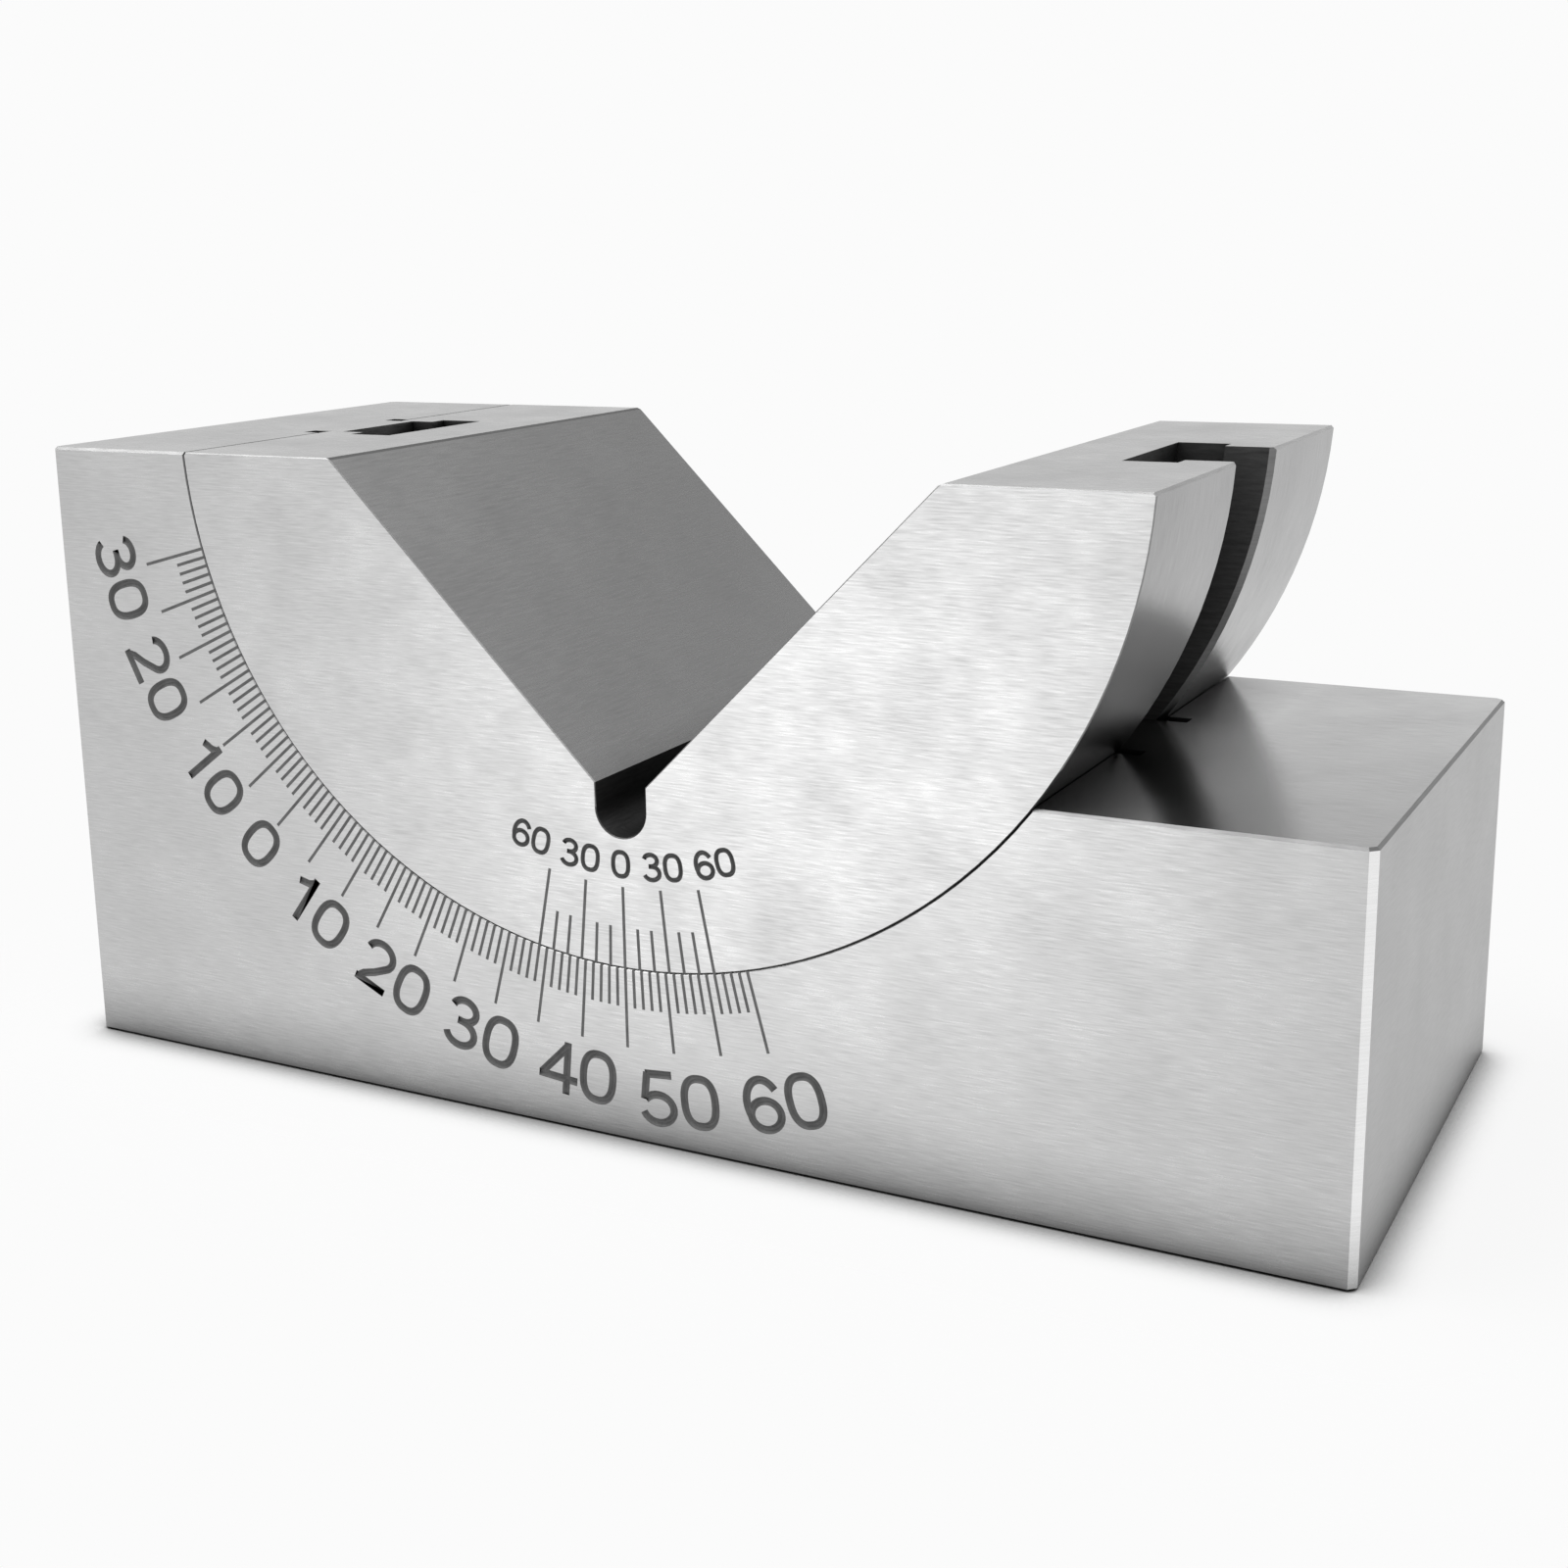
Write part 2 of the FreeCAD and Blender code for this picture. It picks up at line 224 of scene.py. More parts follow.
def evaluated_mesh(item):
    """Plain mesh of an object with its modifiers applied."""
    graph = bpy.context.evaluated_depsgraph_get()
    return bpy.data.meshes.new_from_object(item.evaluated_get(graph))


# ---------------------------------------------------------------- node trees
def connect(tree, kind, values=None, **settings):
    """New node. values gives its inputs, each a number or another node's output."""
    node = tree.nodes.new(kind)
    for name, value in settings.items():
        setattr(node, name, value)
    for key, value in (values or {}).items():
        socket = node.inputs[key]
        if isinstance(value, bpy.types.NodeSocket):
            tree.links.new(value, socket)
        else:
            socket.default_value = value
    return node


def connect_group(tree, group, values):
    """Outputs of a shader group placed in a material with its own values."""
    node = tree.nodes.new("ShaderNodeGroup")
    node.node_tree = group
    for name, value in values.items():
        if isinstance(value, bpy.types.NodeSocket):
            tree.links.new(value, node.inputs[name])
        else:
            node.inputs[name].default_value = value
    return node.outputs


def maths_in(tree):
    """Helper that adds a Math node to a tree and gives its result."""
    def maths(operation, *values):
        node = connect(tree, "ShaderNodeMath", dict(enumerate(values)), operation=operation)
        return node.outputs[0]
    return maths


def tree_with(kind, name, inputs, outputs):
    tree = bpy.data.node_groups.new(name, kind)
    for way, sockets in (("INPUT", inputs), ("OUTPUT", outputs)):
        for label, socket_type, default in sockets:
            socket = tree.interface.new_socket(label, in_out=way, socket_type=socket_type)
            if default is not None:
                socket.default_value = default
    source = tree.nodes.new("NodeGroupInput").outputs
    sink = tree.nodes.new("NodeGroupOutput").inputs
    return tree, source, sink


def marks_tree():
    """Radial bars at even angles, every nth longer, that cut the lines of a scale."""
    tree, given, result = tree_with("GeometryNodeTree", "degree_marks", [
        ("Count", "NodeSocketInt", 10), ("First Angle", "NodeSocketFloat", 0.0),
        ("Step", "NodeSocketFloat", 0.0), ("Long Every", "NodeSocketInt", 5),
        ("Root Radius", "NodeSocketFloat", 0.0), ("Short Radius", "NodeSocketFloat", 0.0),
        ("Long Radius", "NodeSocketFloat", 0.0), ("Half Width", "NodeSocketFloat", 0.0),
        ("Centre", "NodeSocketVector", None), ("Material", "NodeSocketMaterial", None),
    ], [("Geometry", "NodeSocketGeometry", None)])

    maths = maths_in(tree)

    index = connect(tree, "GeometryNodeInputIndex").outputs[0]
    angle = maths("ADD", given["First Angle"], maths("MULTIPLY", index, given["Step"]))
    is_short = maths("GREATER_THAN", maths("MODULO", index, given["Long Every"]), 0.5)
    reach = connect(tree, "ShaderNodeMix", {"Factor": is_short, "A": given["Long Radius"],
                                            "B": given["Short Radius"]}).outputs["Result"]
    middle = maths("MULTIPLY", maths("ADD", given["Root Radius"], reach), 0.5)
    length = maths("ABSOLUTE", maths("SUBTRACT", reach, given["Root Radius"]))
    across = maths("MULTIPLY", middle, maths("SINE", angle))
    down = maths("MULTIPLY", middle, maths("MULTIPLY", maths("COSINE", angle), -1.0))
    spot = connect(tree, "ShaderNodeCombineXYZ", {"X": across, "Z": down}).outputs[0]
    place = connect(tree, "ShaderNodeVectorMath", {0: spot, 1: given["Centre"]}).outputs[0]
    points = connect(tree, "GeometryNodePoints",
                     {"Count": given["Count"], "Position": place}).outputs[0]
    bar = connect(tree, "GeometryNodeMeshCylinder",
                  {"Vertices": 4, "Radius": given["Half Width"], "Depth": 1.0}).outputs["Mesh"]
    lean = connect(tree, "ShaderNodeCombineXYZ", {"Y": maths("MULTIPLY", angle, -1.0)}).outputs[0]
    rotation = connect(tree, "FunctionNodeEulerToRotation", {"Euler": lean}).outputs[0]
    size = connect(tree, "ShaderNodeCombineXYZ", {"X": 1.0, "Y": 1.0, "Z": length}).outputs[0]
    bars = connect(tree, "GeometryNodeInstanceOnPoints", {
        "Points": points, "Instance": bar, "Rotation": rotation, "Scale": size}).outputs[0]
    solid = connect(tree, "GeometryNodeRealizeInstances", {"Geometry": bars}).outputs[0]
    finished = connect(tree, "GeometryNodeSetMaterial",
                       {"Geometry": solid, "Material": given["Material"]})
    tree.links.new(finished.outputs[0], result["Geometry"])
    return tree


def grown(name, tree, values, start=None):
    """Plain mesh that a geometry tree makes from these inputs, and from start if it needs one."""
    item = new_object(name, start or bpy.data.meshes.new(name))
    modifier = item.modifiers.new("made", "NODES")
    modifier.node_group = tree
    for socket in tree.interface.items_tree:
        if socket.in_out == "INPUT" and socket.name in values:
            modifier[socket.identifier] = values[socket.name]
    mesh = evaluated_mesh(item)
    bpy.data.objects.remove(item)
    return mesh


# ---------------------------------------------------------------- materials
PER_METRE = 1000.0  # millimetres
NOISE_LOW, NOISE_HIGH = 0.3, 0.7  # where most of a noise texture's values lie
CLOUD_SHARE = 0.35
ROUGHNESS_SWING = 0.05
PAINTED_SHADE_REACH = 6 * MM


def new_material(name):
    material = bpy.data.materials.new(name)
    material.use_nodes = True
    return material, material.node_tree, material.node_tree.nodes["Principled BSDF"]


def grinding_group():
    """Fine parallel scratches over soft clouds, on coordinates that run along the grind.

    The sizes of the marks are in millimetres.
    """
    tree, given, result = tree_with("ShaderNodeTree", "grinding_marks", [
        ("Along Grind", "NodeSocketVector", None),
        ("Scratch Length", "NodeSocketFloat", 2.0), ("Scratch Width", "NodeSocketFloat", 0.12),
        ("Cloud Size", "NodeSocketFloat", 8.0),
    ], [("Scratches", "NodeSocketFloat", None), ("Clouds", "NodeSocketFloat", None)])
    maths = maths_in(tree)
    scratch_scale = connect(tree, "ShaderNodeCombineXYZ", {
        "X": maths("DIVIDE", PER_METRE, given["Scratch Length"]),
        "Y": maths("DIVIDE", PER_METRE, given["Scratch Width"]),
        "Z": PER_METRE}).outputs[0]
    stretched = connect(tree, "ShaderNodeVectorMath", {0: given["Along Grind"], 1: scratch_scale},
                        operation="MULTIPLY").outputs[0]
    fine = connect(tree, "ShaderNodeTexNoise", {
        "Vector": stretched, "Scale": 1.0, "Detail": 3.0, "Roughness": 0.6})
    soft = connect(tree, "ShaderNodeTexNoise", {
        "Vector": given["Along Grind"], "Scale": maths("DIVIDE", PER_METRE, given["Cloud Size"]),
        "Detail": 2.0, "Roughness": 0.5})
    tree.links.new(fine.outputs["Fac"], result["Scratches"])
    tree.links.new(soft.outputs["Fac"], result["Clouds"])
    return tree


def painted_shade_group():
    """Painted shade: mask that falls from 1 in the open to 0 where surfaces close in on each other.
    """
    tree, given, result = tree_with("ShaderNodeTree", "painted_shade_mask", [
        ("Reach", "NodeSocketFloat", 0.01), ("Shut", "NodeSocketFloat", 0.0),
        ("Open", "NodeSocketFloat", 1.0),
    ], [("Mask", "NodeSocketFloat", None)])
    seen = connect(tree, "ShaderNodeAmbientOcclusion", {"Distance": given["Reach"]},
                   samples=6).outputs["AO"]
    mask = connect(tree, "ShaderNodeMapRange", {"Value": seen, "From Min": given["Shut"],
                                                "From Max": given["Open"]}).outputs[0]
    tree.links.new(mask, result["Mask"])
    return tree


def ground_steel(name, grinding, painted_shade, dark, light, roughness, on_object=False, bump=0.25,
                 **marks):
    """Ground metal that varies from dark to light, with its own sizes of marks, and with painted
    shade that darkens its colour where surfaces close in.
    """
    material, tree, shader = new_material(name)
    if on_object:
        along = connect(tree, "ShaderNodeTexCoord").outputs["Object"]
    else:
        along = connect(tree, "ShaderNodeUVMap", uv_map="grind").outputs[0]
    sizes = {label.replace("_", " ").title(): value for label, value in marks.items()}
    worked = connect_group(tree, grinding, {"Along Grind": along, **sizes})
    maths = maths_in(tree)
    clouds = maths("MULTIPLY", worked["Clouds"], CLOUD_SHARE)
    both = maths("MULTIPLY_ADD", worked["Scratches"], 1 - CLOUD_SHARE, clouds)
    tone = connect(tree, "ShaderNodeMapRange", {
        "Value": both, "From Min": NOISE_LOW, "From Max": NOISE_HIGH}).outputs[0]
    colour = connect(tree, "ShaderNodeMix", data_type="RGBA")
    colour.inputs[6].default_value = (dark, dark, dark, 1)
    colour.inputs[7].default_value = (light, light, light, 1)
    tree.links.new(tone, colour.inputs[0])
    # Painted shade: the colour is darkened where surfaces close in on each other.
    mask = connect_group(tree, painted_shade, {"Reach": PAINTED_SHADE_REACH, "Shut": 0.05, "Open": 0.95})["Mask"]
    shaded = connect(tree, "ShaderNodeVectorMath", {0: colour.outputs[2], "Scale": mask},
                     operation="SCALE").outputs[0]
    tree.links.new(shaded, shader.inputs["Base Color"])
    rough = connect(tree, "ShaderNodeMapRange", {
        "Value": both, "From Min": NOISE_LOW, "From Max": NOISE_HIGH,
        "To Min": roughness + ROUGHNESS_SWING, "To Max": roughness - ROUGHNESS_SWING}).outputs[0]
    tree.links.new(rough, shader.inputs["Roughness"])
    relief = connect(tree, "ShaderNodeBump", {"Height": worked["Scratches"], "Strength": bump,
                                              "Distance": 0.01 * MM}).outputs[0]
    tree.links.new(relief, shader.inputs["Normal"])
    shader.inputs["Metallic"].default_value = 1.0
    return material


def seam_steel(name):
    """Edge of the seam, with painted light and shade: bright along the scale and dark towards its
    ends.
    """
    material, tree, shader = new_material(name)
    where = connect(tree, "ShaderNodeTexCoord").outputs["Object"]
    across = connect(tree, "ShaderNodeSeparateXYZ", {0: where}).outputs["X"]
    share = connect(tree, "ShaderNodeMapRange", {"Value": across, "From Min": -INSERT_RADIUS,
                                                 "From Max": INSERT_RADIUS}).outputs[0]
    # Painted light and shade along the seam, set by place across the block.
    ramp = connect(tree, "ShaderNodeValToRGB", {"Fac": share})
    set_stops(ramp, SEAM_PAINTED_TONES)
    tree.links.new(ramp.outputs["Color"], shader.inputs["Base Color"])
    shader.inputs["Metallic"].default_value = 1.0
    shader.inputs["Roughness"].default_value = 0.4
    return material


def set_stops(ramp, stops):
    """Grey stops of a colour ramp, each a place and a level."""
    elements = ramp.color_ramp.elements
    while len(elements) < len(stops):
        elements.new(0.5)
    for element, (place, level) in zip(elements, stops):
        element.position, element.color = place, (level, level, level, 1)


def fill_paint(name, colour):
    """Dark filler wiped into the engraving, a little uneven."""
    material, tree, shader = new_material(name)
    where = connect(tree, "ShaderNodeTexCoord").outputs["Object"]
    uneven = connect(tree, "ShaderNodeTexNoise", {
        "Vector": where, "Scale": 900.0, "Detail": 3.0}).outputs["Fac"]
    tone = connect(tree, "ShaderNodeMapRange", {
        "Value": uneven, "From Min": NOISE_LOW, "From Max": NOISE_HIGH,
        "To Min": colour * 0.8, "To Max": colour * 1.25}).outputs[0]
    tree.links.new(tone, shader.inputs["Base Color"])
    shader.inputs["Roughness"].default_value = 0.6
    return material


# ---------------------------------------------------------------- pieces
def merged_copy(name, node):
    """Copy of a CAD node's mesh with its loose triangles joined."""
    mesh = frame["nodes"][node].data.copy()
    mesh.name = name
    bm = bmesh.new()
    bm.from_mesh(mesh)
    bmesh.ops.remove_doubles(bm, verts=bm.verts, dist=0.001 * MM)
    bm.to_mesh(mesh)
    bm.free()
    return mesh


def cut(name, mesh, cutter_mesh, operation):
    """Mesh less, or shared with, a cutter."""
    item = new_object(name, mesh)
    cutter = new_object(name + "_cutter", cutter_mesh)
    modifier = item.modifiers.new("engraved", "BOOLEAN")
    modifier.operation = operation
    modifier.solver = "EXACT"
    modifier.use_self = True
    modifier.object = cutter
    result = evaluated_mesh(item)
    bpy.data.objects.remove(item)
    bpy.data.objects.remove(cutter)
    return result


def slab_under_face(low, high):
    """Thin block just under the front face, which the fill of the scale is cut from."""
    bm = bmesh.new()
    bmesh.ops.create_cube(bm, size=1.0)
    top, floor = FRONT + FILL_DEPTH, FRONT + 2 * ENGRAVED_DEPTH
    size = Vector((high.x - low.x, floor - top, high.z - low.z))
    middle = Vector(((high.x + low.x) / 2, (floor + top) / 2, (high.z + low.z) / 2))
    placed = Matrix.Translation(middle) @ Matrix.Diagonal((*size, 1))
    bmesh.ops.transform(bm, matrix=placed, verts=bm.verts)
    mesh = bpy.data.meshes.new("slab")
    bm.to_mesh(mesh)
    bm.free()
    return mesh


def numeral_cutter(numerals, middle, lettering, section, start=None):
    """Bars for every numeral of one scale, added to the mesh start."""
    mesh = start or bpy.data.meshes.new("numerals")
    bm = bmesh.new()
    bm.from_mesh(mesh)
    for text, place, radius in numerals:
        turn = math.radians(place - middle)
        add_numeral(bm, text, turn, radius * MM, lettering, section)
    bmesh.ops.recalc_face_normals(bm, faces=bm.faces)
    bm.to_mesh(mesh)
    bm.free()
    return mesh


def scale_cutter(name, tree, marks, numerals, middle, lettering, material):
    """Bars for every line and numeral of one scale."""
    bars = grown(name, tree, {
        "Count": marks["count"], "First Angle": math.radians(marks["first"]),
        "Step": math.radians(marks["step"]), "Long Every": marks["long_every"],
        "Root Radius": marks["root"], "Short Radius": marks["short"],
        "Long Radius": marks["long"], "Half Width": MARK_HALF_WIDTH,
        "Centre": on_face(0, 0, 0), "Material": material})
    return numeral_cutter(numerals, middle, lettering, GROOVE, bars)


def smooth_curves(mesh):
    """Smooth shading on round surfaces only, with sharp edges where they end."""
    bm = bmesh.new()
    bm.from_mesh(mesh)
    for edge in bm.edges:
        edge.smooth = len(edge.link_faces) == 2 and edge.calc_face_angle() < SHARP
    for face in bm.faces:
        face.smooth = any(edge.smooth and edge.calc_face_angle() > FLAT for edge in face.edges)
    bm.to_mesh(mesh)
    bm.free()


def within(value, span):
    return span[0] < value < span[1]


def face_kind(normal, middle):
    """Which kind a face is, from where it is and where it looks; each kind has its own finish and
    its own painted level of light and shade.
    """
    x, y, z = middle - AXIS
    outward = math.hypot(x, z) - INSERT_RADIUS
    in_tee = (abs(y) < TEE_REACH and within(outward, TEE_SPAN)
              and (z < TEE_LOW or abs(z) < TEE_ENDS))
    in_groove = abs(y) < GROOVE_REACH and within(outward, GROOVE_SPAN)
    # Faces inside the tee slot, the narrow groove and the relief slot get a near-black colour.
    if (in_tee or in_groove) and abs(normal.z) < LEVEL:
        return "slot_dark"
    if abs(x) < RELIEF_HALF_WIDTH and within(z, (RELIEF_FLOOR, RELIEF_MOUTH)):
        return "slot_dark"
    if abs(normal.y) > STRAIGHT:
        return "side"
    if abs(normal.z) > STRAIGHT:
        return "ledge" if z < LEDGE_BELOW and middle.z > OVER_UNDERSIDE else "top"
    if abs(normal.x) > STRAIGHT and outward > OFF_ROUND:
        return "end"
    if abs(outward) < ON_ROUND:
        if abs(abs(y) - abs(FRONT)) < AT_FACE:
            return "seam" if z < LEDGE_BELOW or x <= 0 else "rim"
        if abs(normal.y) < SIDEWAYS:
            return "top" if z > TOP_ABOVE else "round"
        return "mouth"
    leans_evenly = abs(abs(normal.x) - abs(normal.z)) < EVEN and abs(normal.y) < EVEN
    if leans_evenly and z < FLANK_BELOW and outward < FLANK_RADIUS - INSERT_RADIUS:
        return "flank"
    return "corner" if abs(normal.z) < SIDEWAYS and abs(x) > INSERT_RADIUS + OFF_ROUND else "rim"


def lay_grind(mesh, finishes_and_painted_light):
    """Material of each face, which carries its finish and its painted light and shade, and a UV map
    in metres whose U runs along its grinding lines.

    Each kind of face is shifted across the grind by its own step, so that no
    two of them share their marks.
    """
    layer = mesh.uv_layers.new(name="grind")
    mesh.materials.clear()
    names = list(finishes_and_painted_light)
    for finish_and_painted_light in names:
        mesh.materials.append(finishes_and_painted_light[finish_and_painted_light])
    for face in mesh.polygons:
        normal = face.normal
        finish_and_painted_light = face_kind(normal, face.center)
        face.material_index = names.index(finish_and_painted_light)
        for loop in face.loop_indices:
            point = mesh.vertices[mesh.loops[loop].vertex_index].co
            x, y, z = point
            if abs(normal.y) > FACES_SIDE:
                spot = (x, z)
            elif finish_and_painted_light == "round":
                spot = (math.atan2(x - AXIS.x, AXIS.z - z) * INSERT_RADIUS, y + 4 * SHIFT)
            elif abs(normal.z) > FACES_END:
                spot = (x, y + SHIFT)
            elif abs(normal.x) > FACES_END:
                spot = (y, z + 2 * SHIFT)
            else:
                spot = (y, x * normal.z - z * normal.x + 3 * SHIFT)
            layer.data[loop].uv = spot


def finish_steel(name, mesh, finishes_and_painted_light, body, node, slot):
    smooth_curves(mesh)
    lay_grind(mesh, finishes_and_painted_light)
    piece = new_object(name, mesh)
    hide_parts(node)
    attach(piece, body)
    return piece


def finish_fill(name, mesh, material, body):
    mesh.materials.clear()
    mesh.materials.append(material)
    piece = new_object(name, mesh)
    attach(piece, body)
    return piece


# ---------------------------------------------------------------- clamp screw
def knurl_tree():
    """Straight knurl pressed into the round wall of a head, between two heights."""
    tree, given, result = tree_with("GeometryNodeTree", "straight_knurl", [
        ("Geometry", "NodeSocketGeometry", None), ("Ridges", "NodeSocketFloat", 40.0),
        ("Depth", "NodeSocketFloat", 0.0), ("Low", "NodeSocketFloat", 0.0),
        ("High", "NodeSocketFloat", 0.0),
        ("Wall Radius", "NodeSocketFloat", 0.0), ("Material", "NodeSocketMaterial", None),
    ], [("Geometry", "NodeSocketGeometry", None)])
    maths, around, height, radius, outward = round_fields(tree)
    wave = maths("SINE", maths("MULTIPLY", around, given["Ridges"]))
    pressed = maths("MULTIPLY", maths("MULTIPLY_ADD", wave, 0.5, 0.5), given["Depth"])
    on_wall = maths("GREATER_THAN", radius, given["Wall Radius"])
    in_band = maths("MULTIPLY", maths("GREATER_THAN", height, given["Low"]),
                    maths("LESS_THAN", height, given["High"]))
    share = maths("MULTIPLY", maths("MULTIPLY", pressed, -1.0), maths("MULTIPLY", on_wall, in_band))
    move_and_finish(tree, given["Geometry"], outward, share, given["Material"], result)
    return tree


def thread_tree():
    """Shank with a right-hand thread that runs out smoothly towards both ends."""
    tree, given, result = tree_with("GeometryNodeTree", "threaded_shank", [
        ("Radius", "NodeSocketFloat", 0.0), ("Length", "NodeSocketFloat", 0.0),
        ("Pitch", "NodeSocketFloat", 0.0), ("Depth", "NodeSocketFloat", 0.0),
        ("Tip Chamfer", "NodeSocketFloat", 0.0), ("Rings", "NodeSocketInt", 96),
        ("Material", "NodeSocketMaterial", None),
    ], [("Geometry", "NodeSocketGeometry", None)])
    maths, around, height, radius, outward = round_fields(tree)
    shank = connect(tree, "GeometryNodeMeshCylinder", {
        "Vertices": 96, "Side Segments": given["Rings"], "Radius": given["Radius"],
        "Depth": given["Length"]}).outputs["Mesh"]
    turns = maths("SUBTRACT", maths("DIVIDE", height, given["Pitch"]),
                  maths("DIVIDE", around, math.tau))
    flank = maths("MULTIPLY", maths("ABSOLUTE", maths("SUBTRACT", maths("FRACT", turns), 0.5)), 2.0)
    groove = connect(tree, "ShaderNodeMapRange", {
        "Value": flank, "From Min": 0.15, "From Max": 0.85,
        "To Min": 1.0, "To Max": 0.0}).outputs[0]
    to_end = maths("SUBTRACT", maths("MULTIPLY", given["Length"], 0.5), maths("ABSOLUTE", height))
    runout = connect(tree, "ShaderNodeMapRange", {
        "Value": to_end, "From Max": given["Pitch"]}).outputs[0]
    thread = maths("MULTIPLY", maths("MULTIPLY", groove, runout), given["Depth"])
    to_tip = maths("SUBTRACT", maths("MULTIPLY", given["Length"], 0.5), height)
    tip = maths("MAXIMUM", maths("SUBTRACT", given["Tip Chamfer"], to_tip), 0.0)
    share = maths("MULTIPLY", maths("MAXIMUM", thread, tip), -1.0)
    move_and_finish(tree, shank, outward, share, given["Material"], result)
    return tree


def round_fields(tree):
    """Maths helper, then a point's angle, height, radius and outward direction about Z."""
    maths = maths_in(tree)

    position = connect(tree, "GeometryNodeInputPosition").outputs[0]
    parts = connect(tree, "ShaderNodeSeparateXYZ", {0: position}).outputs
    flat = connect(tree, "ShaderNodeCombineXYZ", {"X": parts["X"], "Y": parts["Y"]}).outputs[0]
    outward = connect(tree, "ShaderNodeVectorMath", {0: flat}, operation="NORMALIZE").outputs[0]
    radius = connect(tree, "ShaderNodeVectorMath", {0: flat}, operation="LENGTH").outputs["Value"]
    return maths, maths("ARCTAN2", parts["Y"], parts["X"]), parts["Z"], radius, outward


def move_and_finish(tree, geometry, outward, share, material, result):
    """Move each point along outward by share, then give the mesh its material."""
    offset = connect(tree, "ShaderNodeVectorMath", {0: outward, "Scale": share},
                     operation="SCALE").outputs[0]
    moved = connect(tree, "GeometryNodeSetPosition",
                    {"Geometry": geometry, "Offset": offset}).outputs[0]
    solid = connect(tree, "GeometryNodeRealizeInstances", {"Geometry": moved}).outputs[0]
    finished = connect(tree, "GeometryNodeSetMaterial", {"Geometry": solid, "Material": material})
    tree.links.new(finished.outputs[0], result["Geometry"])


def hexagon(apothem):
    """Radius of a hexagon at each turn about its middle."""
    return lambda turn: apothem / math.cos((turn + math.pi / 6) % (math.pi / 3) - math.pi / 6)


def lathe(name, rings, count):
    """Closed solid through rings of (height, radius), where a radius may depend on the turn."""
    bm = bmesh.new()
    made = []
    for height, radius in rings:
        ring = []
        for n in range(count):
            turn = math.tau * n / count
            reach = radius(turn) if callable(radius) else radius
            ring.append(bm.verts.new((reach * math.cos(turn), reach * math.sin(turn), height)))
        made.append(ring)
    for near, far in zip(made, made[1:]):
        for n in range(count):
            after = (n + 1) % count
            bm.faces.new((near[n], near[after], far[after], far[n]))
    for ring in (made[0], made[-1]):
        bm.faces.new(ring)
    bmesh.ops.recalc_face_normals(bm, faces=bm.faces)
    mesh = bpy.data.meshes.new(name)
    bm.to_mesh(mesh)
    bm.free()
    return mesh


def cap_screw(material):
    """M6 socket head cap screw with a knurled head and a cut thread."""
    low, top = SCREW_LOW.z, SCREW_HIGH.z
    head_radius = (SCREW_HIGH.x - SCREW_LOW.x) / 2
    seat = low + HEAD_HEIGHT
    socket = hexagon(SOCKET_WIDTH / 2)
    head = lathe("head", [
        (low + SOCKET_DEPTH + SOCKET_POINT, 0.3 * MM),
        (low + SOCKET_DEPTH, lambda turn: 0.94 * socket(turn)),
        (low + SOCKET_DEPTH - 0.02 * MM, socket),
        (low + SOCKET_LEAD, socket),
        (low, 1.2 * SOCKET_WIDTH / 2),
        *((low + up * MM, head_radius - inset * MM) for up, inset in HEAD_LOW_EDGE),
        *((seat - down * MM, head_radius - inset * MM) for down, inset in HEAD_HIGH_EDGE),
        (seat, SCREW_RADIUS),
        (seat + 0.1 * MM, SCREW_RADIUS - 0.1 * MM),
    ], HEAD_STEPS)
    knurled = grown("knurled_head", knurl_tree(), {
        "Ridges": KNURL_RIDGES, "Depth": KNURL_DEPTH, "Low": low + KNURL_LOW,
        "High": seat - KNURL_HIGH, "Wall Radius": head_radius - KNURL_WALL,
        "Material": material}, head)
    length = top - seat
    shank = grown("shank", thread_tree(), {
        "Radius": SCREW_RADIUS, "Length": length, "Pitch": THREAD_PITCH, "Depth": THREAD_DEPTH,
        "Tip Chamfer": TIP_CHAMFER, "Rings": 96, "Material": material})
    bm = bmesh.new()
    bm.from_mesh(shank)
    bmesh.ops.translate(bm, verts=bm.verts, vec=(0, 0, seat + length / 2))
    bm.from_mesh(knurled)
    mesh = bpy.data.meshes.new("cap_screw")
    bm.to_mesh(mesh)
    bm.free()
    mesh.materials.append(material)
    smooth_curves(mesh)
    piece = new_object("cap_screw", mesh)
    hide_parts("clamp_screw")
    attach(piece, "screw")


# ---------------------------------------------------------------- the block
grinding = grinding_group()
painted_shade = painted_shade_group()
SEAM = seam_steel("seam_edge")


def finishes_and_painted_light(piece, side_dark, side_light, cloud_size):
    """Materials of one steel piece, one for each kind of face: grain, roughness and marks are their
    finishes, and their colour levels are painted light and shade, dark on the round, the mouths and
    the rims and bright on the corner chamfers.
    """
    def ground(label, *values, **settings):
        return ground_steel(piece + "_" + label, grinding, painted_shade, *values, **settings)
    # Painted light and shade: each kind of face has its own colour level, set to stand in for how
    # light falls on it; the corner chamfers get a painted highlight, and the round, the mouths and
    # the rims get painted shade.
    return {
        "side": ground("side", side_dark, side_light, 0.30, cloud_size=cloud_size),
        "top": ground("top", 0.40, 0.50, 0.28),
        "ledge": ground("ledge", 0.46, 0.54, 0.20),
        "end": ground("end", 0.38, 0.42, 0.40),
        "flank": ground("flank", 0.48, 0.68, 0.28, scratch_length=2.6, scratch_width=0.22),
        "round": ground("round", 0.24, 0.31, 0.22),
        "mouth": ground("mouth", 0.14, 0.20, 0.35),
        "rim": ground("rim", 0.22, 0.28, 0.42),
        "corner": ground("corner", 0.80, 0.88, 0.20),
        "seam": SEAM,
        # Near-black colour for the faces inside the slots.
        "slot_dark": ground("slot", 0.05, 0.14, 0.50, bump=0.5, scratch_width=0.3),
    }


FILL = fill_paint("scale_fill", 0.085)

